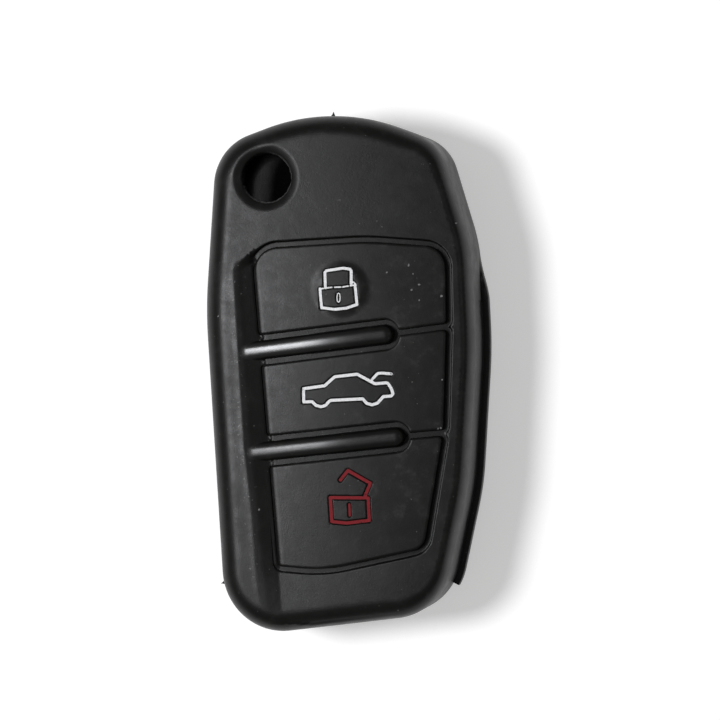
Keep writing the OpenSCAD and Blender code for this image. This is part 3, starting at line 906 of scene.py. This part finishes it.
def pad_height(points, i):
    """Height of a button's top, with its crown, edge, dome and engraved strokes."""
    inward = measure(points, PAD_LOOPS[i])[0] + PAD_GAP
    x = points[:, 0]
    edge = np.clip(inward / PAD_EDGE, 0, 1)
    low, high = PAD_LOOPS[i][:, 0].min(), PAD_LOOPS[i][:, 0].max()
    bulge = PAD_BULGE * (1 - np.minimum(((x - (low + high) / 2) / ((high - low) / 2)) ** 2, 1))
    z = face_z(x) + PAD_PROUD + bulge - PAD_EDGE * round_drop(edge)
    left = np.clip((x - left_edge_x(points[:, 1])) / PAD_LEFT_ROUND_W, 0, 1)
    z = z - PAD_LEFT_ROUND_H * round_drop(left)
    if i == 0:
        z = z + DOME_H * (1 - smooth((from_centre(points, DOME) - DOME_TOP_R) / (DOME_R - DOME_TOP_R)))
    return z - SIGN_DEPTH * smooth(0.5 + (sign_reach(points, i) + SIGN_MARGIN) / SIGN_WALL)


def pad_points(i):
    """Points of a button's top, its outline first, and the outline's count."""
    loop = PAD_LOOPS[i]
    rows = [outward(loop, -PAD_EDGE * s) for s in PAD_RINGS]
    marks = []
    for width, line in SIGNS[i]:
        at, run = stroke_points(line)
        side = np.column_stack([-run[:, 1], run[:, 0]])
        half = width * MM / 2
        edges = [half + d * MM for d in SIGN_ROWS]
        for off in edges:
            marks += [at + side * off, at - side * off]
        marks.append(at)
        for end, way in ((at[0], -run[0]), (at[-1], run[-1])):
            turn = np.radians(np.arange(-80, 81, SIGN_ROW_TURN))
            fan = np.cos(turn)[:, None] * way + np.sin(turn)[:, None] * quarter_turn(way)
            marks += [end + fan * off for off in edges]
    marks = np.vstack(marks)
    reach = sign_reach(marks, i)
    marks = marks[(reach < SIGN_ROW_REACH) & (measure(marks, loop)[0] > PAD_EDGE * PAD_MARK_CLEAR)]
    fine, even = lattice(loop.min(0), loop.max(0), PAD_LATTICE)
    reach = sign_reach(fine, i)
    keep = (measure(fine, loop)[0] > PAD_EDGE * PAD_LATTICE_CLEAR) & (even | (reach > SIGN_FINE_REACH))
    keep &= (reach > SIGN_CLEAR_INSIDE) | (reach < SIGN_CLEAR_OUTSIDE)
    points = np.vstack([loop] + rows + [marks, fine[keep]])
    return thinned(points, len(loop), PAD_LEAST), len(loop)


def pad_skin(i, name):
    """One button: crowned and engraved top, straight wall and pip below."""
    shape = Shape()
    points, n = pad_points(i)
    faces = triangulated(points, [(0, n)])
    z = pad_height(points, i)
    z[:n] = face_z(points[:n, 0]) + PAD_PROUD - PAD_EDGE
    top = shape.sheet(at_height(points, z), faces)
    low = shape.add(at_height(points[:n], INNER_Z))
    shape.strip(low, top[:n])
    around = circle(PIP_POINTS)[1] * PIP_R
    flat = np.vstack([points[:n], np.array(PIPS[i]) + around])
    shape.sheet(at_height(flat, INNER_Z), triangulated(flat, [(0, n), (n, PIP_POINTS)]), flip=True)
    rings = [shape.add(at_height(np.array(PIPS[i]) + around * r, INNER_Z - PIP_H * d))
             for r, d in PIP_SECTION]
    shape.strips(rings, flip=True)
    shape.faces.append(rings[-1][::-1].tolist())
    return shape.piece(name, PAD_SHARP), points, faces


def sign_film(i, name, points, faces):
    """The paint in the strokes of button i, as a thin closed film."""
    middle = points[faces].mean(axis=1)
    painted = faces[sign_reach(middle, i) > PAINT_REACH]
    used, inverse = np.unique(painted, return_inverse=True)
    inverse = inverse.reshape(painted.shape)
    flat = points[used]
    z = pad_height(flat, i)
    shape = Shape()
    top = shape.sheet(at_height(flat, z + SIGN_FILM), inverse)
    under = shape.sheet(at_height(flat, z - SIGN_FILM), inverse, flip=True)
    edges = {(f[k], f[(k + 1) % 3]): True for f in inverse for k in range(3)}
    a, b = np.array([edge for edge in edges if edge[::-1] not in edges]).T
    shape.faces += np.column_stack([top[b], top[a], under[a], under[b]]).tolist()
    return shape.piece(name, SIGN_SHARP)


class Nodes:
    """A material's node tree. Values are numbers, colours or other nodes' outputs."""

    def __init__(self, name):
        self.mat = bpy.data.materials.new(name)
        self.mat.use_nodes = True
        self.tree = self.mat.node_tree
        self.tree.nodes.clear()

    def new(self, kind, inputs=(), **settings):
        made = self.tree.nodes.new(kind)
        for key, value in settings.items():
            setattr(made, key, value)
        for key, value in dict(inputs).items():
            if hasattr(value, "is_output"):
                self.tree.links.new(value, made.inputs[key])
            else:
                made.inputs[key].default_value = value
        return made

    def place(self):
        return self.new("ShaderNodeTexCoord").outputs["Object"]

    def marked(self, name):
        return self.new("ShaderNodeAttribute", attribute_name=name).outputs["Fac"]

    def mix(self, share, low, high):
        return self.new("ShaderNodeMix", {0: share, 6: low, 7: high}, data_type="RGBA").outputs[2]

    def math(self, operation, *values):
        return self.new("ShaderNodeMath", enumerate(values), operation=operation).outputs[0]

    def plus(self, a, b):
        return self.math("ADD", a, b)

    def minus(self, a, b):
        return self.math("SUBTRACT", a, b)

    def times(self, a, b):
        return self.math("MULTIPLY", a, b)

    def vector(self, operation, a, b, output="Vector"):
        return self.new("ShaderNodeVectorMath", {0: a, 1: b}, operation=operation).outputs[output]

    def noise(self, place, kind):
        values = zip(("Vector", "Scale", "Detail", "Roughness"), (place, *kind))
        return self.new("ShaderNodeTexNoise", values).outputs["Fac"]

    def ramp(self, value, limits):
        """From 0 at the first limit to 1 at the second."""
        values = {"Value": value, "From Min": limits[0], "From Max": limits[1]}
        return self.new("ShaderNodeMapRange", values, interpolation_type="SMOOTHSTEP").outputs[0]

    def bump(self, height, strength):
        values = {"Strength": strength, "Distance": BUMP_DISTANCE, "Height": height}
        return self.new("ShaderNodeBump", values).outputs["Normal"]

    def finish(self, inputs):
        shader = self.new("ShaderNodeBsdfPrincipled", inputs)
        self.new("ShaderNodeOutputMaterial", {0: shader.outputs[0]})
        return self.mat


# Noises of the rubber, the paint and the floor: scale, detail and roughness
CLOUD = (90, 4, 0.6)
BLOTCH = (420, 5, 0.65)
GRAIN = (5200, 3, 0.6)
SPECK = (2600, 1, 0.4)
WEAR = (900, 4, 0.6)
PAINT_GRAIN = (4200, 3, 0.6)
FLOOR_CLOUD = (40, 3, 0.5)

# The rubber's two plain colours, its smudges, its fine dust and its specks of dust
RUBBER_COLOURS = ((0.0043, 0.0040, 0.0036, 1), (0.0060, 0.0056, 0.0050, 1))
SMUDGE_COLOUR = (0.06, 0.058, 0.055, 1)
DUST_COLOUR = (0.2, 0.195, 0.185, 1)
SPECK_COLOUR = (0.3, 0.3, 0.3, 1)
# Values of the noise, or distances, at which they begin and are full
CLOUD_LIMITS = (0.3, 0.7)
SMUDGE_LIMITS = (0.52, 0.78)
DUST_LIMITS = (0.77, 0.82)
SPECK_LIMITS = (0.02 * MM, -0.06 * MM)
DUST_SHARE = 0.35
SPECK_SHARE = 0.55
# How much more dust gathers at the shoulder, and unevenness of the specks
DUST_GATHERED = 0.1
SPECK_UNEVEN = 0.5 * MM
# Roughness and bump, with what a blotch adds and a rubbed rib takes away
ROUGHNESS = 0.34
BLOTCH_LIMITS = (0.3, 0.75)
BLOTCH_ROUGHNESS = 0.1
BLOTCH_HEIGHT = 1.6
POLISH_ROUGHNESS = 0.1
BUMP = 0.45
POLISH_BUMP = 0.3
BUMP_DISTANCE = 0.03 * MM
COAT = 0.85
COAT_ROUGHNESS = 0.32
SPECULAR = 0.2
RUBBER_IOR = 1.5
# Specks of dust: x, y and radius, in millimetres
DUST = (
    (7.5, 14.7, 0.16), (10.65, 15.8, 0.13), (11.3, 14.5, 0.1), (12.1, 13.0, 0.15), (11.1, 12.2, 0.1),
    (12.2, 10.75, 0.14), (15.4, 11.35, 0.16), (15.5, -0.7, 0.13), (14.8, -7.8, 0.13), (15.3, -7.65, 0.11),
    (-17.5, 8.4, 0.15), (17.2, 25.9, 0.14), (17.4, 21.8, 0.12), (11.1, 12.6, 0.09), (-11.3, -19.6, 0.12),
)


def rubber_material(name, shift, smudge):
    """Matt black silicone with fine grain, pale smudges and a little dust."""
    n = Nodes(name)
    own = n.place()
    moved = n.vector("ADD", own, shift)
    blotch = n.noise(moved, BLOTCH)
    speck = n.noise(moved, SPECK)
    polish = n.marked("polish")
    colour = n.mix(n.ramp(n.noise(moved, CLOUD), CLOUD_LIMITS), *RUBBER_COLOURS)
    colour = n.mix(n.times(n.ramp(blotch, SMUDGE_LIMITS), smudge), colour, SMUDGE_COLOUR)
    fine_dust = n.plus(speck, n.times(n.marked("dust"), DUST_GATHERED))
    colour = n.mix(n.times(n.ramp(fine_dust, DUST_LIMITS), DUST_SHARE), colour, DUST_COLOUR)
    flat = n.vector("MULTIPLY", own, (1, 1, 0))
    nearest = None
    for x, y, r in DUST:
        reach = n.minus(n.vector("DISTANCE", flat, (x * MM, y * MM, 0), "Value"), r * MM)
        nearest = reach if nearest is None else n.math("MINIMUM", nearest, reach)
    uneven = n.plus(nearest, n.times(n.minus(speck, 0.5), SPECK_UNEVEN))
    colour = n.mix(n.times(n.ramp(uneven, SPECK_LIMITS), SPECK_SHARE), colour, SPECK_COLOUR)
    rough = n.plus(ROUGHNESS, n.times(n.ramp(blotch, BLOTCH_LIMITS), BLOTCH_ROUGHNESS))
    height = n.plus(n.noise(moved, GRAIN), n.times(blotch, BLOTCH_HEIGHT))
    return n.finish({
        "Base Color": colour, "Roughness": n.minus(rough, n.times(polish, POLISH_ROUGHNESS)),
        "Normal": n.bump(height, n.minus(BUMP, n.times(polish, POLISH_BUMP))),
        "Coat Weight": n.times(polish, COAT), "Coat Roughness": COAT_ROUGHNESS,
        "IOR": RUBBER_IOR, "Specular IOR Level": SPECULAR})


PAINT_LIMITS = (0.35, 0.7)
PAINT_DARKER = 0.8
PAINT_BUMP = 0.4
PAINT_ROUGHNESS = 0.62
PAINT_IOR = 1.45
WEAR_EDGE = 0.1


def darker(colour, share):
    return tuple(c * share for c in colour[:3]) + (1,)


def paint_material(name, colour, worn, shift, wear):
    """Printed symbol, slightly uneven and darker where it's worn."""
    n = Nodes(name)
    moved = n.vector("ADD", n.place(), shift)
    fine = n.noise(moved, PAINT_GRAIN)
    shade = n.mix(n.ramp(fine, PAINT_LIMITS), colour, darker(colour, PAINT_DARKER))
    full = n.mix(n.ramp(n.noise(moved, WEAR), (wear, wear + WEAR_EDGE)), shade, worn)
    return n.finish({"Base Color": full, "Roughness": PAINT_ROUGHNESS, "Normal": n.bump(fine, PAINT_BUMP),
                     "IOR": PAINT_IOR, "Specular IOR Level": SPECULAR})


RUBBER = rubber_material("rubber", shift=(0, 0, 0), smudge=0.12)
PAD_RUBBER = rubber_material("pad_rubber", shift=(0.31, 0.217, 0), smudge=0.26)
WHITE_PAINT = paint_material(
    "white_paint", (0.85, 0.85, 0.85, 1), worn=(0.3, 0.3, 0.31, 1), shift=(0.1, 0.13, 0), wear=0.62)
RED_PAINT = paint_material(
    "red_paint", (0.2, 0.008, 0.012, 1), worn=(0.065, 0.005, 0.006, 1), shift=(0.2, 0.26, 0), wear=0.6)


def mark(obj, name, values_at):
    co = np.empty(len(obj.data.vertices) * 3)
    obj.data.vertices.foreach_get("co", co)
    made = obj.data.attributes.new(name, "FLOAT", "POINT")
    made.data.foreach_set("value", values_at(co.reshape(-1, 3)).astype(np.float32))


# How smooth the two ribs are rubbed, and how far from their crests, as shares of the radius
RIB_SHINE = (1.0, 0.45)
SHINE_REACH = 1.2
SHINE_BLEND = 0.75
SHINE_NEAR = 0.15 * MM
# Length over which the shine begins at the root, and where it fades along x
SHINE_RISE = 1.0 * MM
SHINE_FADE_X = -3.0 * MM
SHINE_FADE = 8.0 * MM
# Where dust gathers behind the shoulder, and how wide
DUST_BACK = 1.2 * MM
DUST_W = 1.3 * MM


def rib_polish(points):
    """How smooth fingers have rubbed the ribs' crests, 0 elsewhere."""
    flat = points[:, :2]
    best = np.zeros(len(points))
    for rib, shine in zip(RIBS, RIB_SHINE):
        top, distance = rib_top(flat, rib)
        near = smooth((SHINE_REACH * RIB_R - distance) / (SHINE_BLEND * RIB_R))
        near *= abs(points[:, 2] - top) < SHINE_NEAR
        near *= smooth((flat[:, 0] - rib[0][0]) / SHINE_RISE)
        near *= 1 - smooth((flat[:, 0] - SHINE_FADE_X) / SHINE_FADE)
        best = np.maximum(best, shine * near)
    return best


def shoulder_dust(points):
    """1 where dust gathers along the channel's shoulder, 0 elsewhere."""
    x, y, z = points.T
    return np.exp(-((x - shoulder_x(y) + DUST_BACK) / DUST_W) ** 2) * channel_share(x, y) * (z > INNER_Z)


def ride(obj, body, mat):
    """Give a piece its material and its body."""
    obj.data.materials.clear()
    obj.data.materials.append(mat)
    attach(obj, body)
    return obj


# Points of moulding flash: place at the wall, height, way outwards, length and width, in millimetres
FLASH = (
    ((-1.25, 37.4), 12.8, (0.05, 1), 0.8, 1.2),
    ((-17.4, -30.6), 12.8, (-1, -0.35), 0.6, 0.9),
    ((-19.7, 10.9), 12.8, (-1, 0.1), 0.22, 0.8),
    ((-8.3, -37.35), 8.0, (-0.1, -1), 0.25, 0.9),
)
FLASH_SUNK = 0.5 * MM
FLASH_HALF = 0.16 * MM
# Outline of a flash point outside the wall: shares of its length and its width
FLASH_OUTLINE = ((0, 1 / 3), (0.6, 1 / 12), (1, 0), (0.5, -1 / 9), (0, -1 / 3))


def flash_point(k, place, height, way, length, width):
    """A thin pointed web of silicone left by the mould."""
    way = unit(np.array(way, float))
    side = quarter_turn(way) * width * MM
    at = np.array(place) * MM
    shape = Shape()
    outline = [at - way * FLASH_SUNK + side * share for share in (-0.5, 0.5)]
    outline += [at + way * length * MM * out + side * share for out, share in FLASH_OUTLINE]
    low = at_height(np.array(outline), height * MM - FLASH_HALF)
    high = at_height(np.array(outline), height * MM + FLASH_HALF)
    fan = [(0, i, i + 1) for i in range(1, len(outline) - 1)]
    a = shape.sheet(low, fan)
    b = shape.sheet(high, fan, flip=True)
    shape.strip(a, b, flip=True)
    return shape.piece("flash_%d" % k)


def make_cover():
    shell = ride(sleeve_shell(), "cover", RUBBER)
    mark(shell, "polish", rib_polish)
    mark(shell, "dust", shoulder_dust)
    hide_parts("sleeve", "lock_web", "boot_web", "unlock_web")
    for k, row in enumerate(FLASH):
        ride(flash_point(k + 1, *row), "cover", RUBBER)
    for i, button in enumerate(("lock", "boot", "unlock")):
        pad, points, faces = pad_skin(i, button + "_pad_skin")
        ride(pad, button + "_button", PAD_RUBBER)
        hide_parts(button + "_pad")
        paint = RED_PAINT if button == "unlock" else WHITE_PAINT
        ride(sign_film(i, button + "_sign", points, faces), button + "_button", paint)


make_cover()

# Camera: nearly overhead, leaning a little towards +X
CAMERA_DISTANCE = 500 * MM
CAMERA_LEAN_X = math.radians(9.5)
CAMERA_LEAN_Y = math.radians(0.69)
CAMERA_AIM = (3.49 * MM, 2.1 * MM, 17.5 * MM)
CAMERA_SENSOR = 36.0
CAMERA_NEAR = 10 * MM
FRAME_WIDTH = 103.86 * MM


def make_camera():
    data = bpy.data.cameras.new("camera")
    data.sensor_width = CAMERA_SENSOR
    data.lens = CAMERA_SENSOR * CAMERA_DISTANCE / FRAME_WIDTH
    data.clip_start = CAMERA_NEAR
    camera = placed("camera", data)
    away = Vector((math.tan(CAMERA_LEAN_X), math.tan(CAMERA_LEAN_Y), 1)).normalized()
    camera.location = Vector(CAMERA_AIM) + away * CAMERA_DISTANCE
    side = Vector((0, 1, 0)).cross(away).normalized()
    camera.rotation_euler = Matrix((side, away.cross(side), away)).transposed().to_euler()
    bpy.context.scene.camera = camera


FLOOR_SIZE = 3.0
FLOOR_COLOUR = (0.8, 0.79, 0.78, 1)
FLOOR_DARKER = 0.985
FLOOR_ROUGHNESS = 0.9
# Light on the floor that only camera, glossy and transmission rays see
FLOOR_LIFT = 0.4


def make_floor():
    mesh = bpy.data.meshes.new("floor")
    r = FLOOR_SIZE / 2
    mesh.from_pydata([(-r, -r, 0), (r, -r, 0), (r, r, 0), (-r, r, 0)], [], [(0, 1, 2, 3)])
    floor = placed("floor", mesh)
    n = Nodes("floor_white")
    colour = n.mix(n.noise(n.place(), FLOOR_CLOUD), FLOOR_COLOUR, darker(FLOOR_COLOUR, FLOOR_DARKER))
    path = n.new("ShaderNodeLightPath").outputs
    seen = n.math("MAXIMUM", path["Is Camera Ray"],
                  n.math("MAXIMUM", path["Is Glossy Ray"], path["Is Transmission Ray"]))
    mesh.materials.append(n.finish({
        "Base Color": colour, "Roughness": FLOOR_ROUGHNESS,
        "Emission Color": (1, 1, 1, 1), "Emission Strength": n.times(seen, FLOOR_LIFT)}))


# Lights: a small soft key from the left, a weak fill from the right and a pale room
LAMPS = (("key", (-0.45, 0.035, 0.89), 1.9), ("fill", (0.62, 0.1, 0.78), 0.1))
LAMP_DISTANCE = 0.5
LAMP_SIZE = 0.12
LAMP_COLOUR = (0.96, 0.97, 1.0)
ROOM_STRENGTH = 0.2


def make_lights():
    for name, way, power in LAMPS:
        data = bpy.data.lights.new(name, "AREA")
        data.shape = "DISK"
        data.size = LAMP_SIZE
        data.energy = power
        data.color = LAMP_COLOUR
        lamp = placed(name, data)
        lamp.location = Vector(way).normalized() * LAMP_DISTANCE
        lamp.rotation_euler = Vector(way).to_track_quat("Z", "Y").to_euler()
    world = bpy.data.worlds.new("room")
    bpy.context.scene.world = world
    world.use_nodes = True
    back = world.node_tree.nodes["Background"]
    back.inputs["Color"].default_value = (1, 1, 1, 1)
    back.inputs["Strength"].default_value = ROOM_STRENGTH


make_floor()
make_lights()
make_camera()

bpy.context.scene.view_settings.view_transform = "Standard"
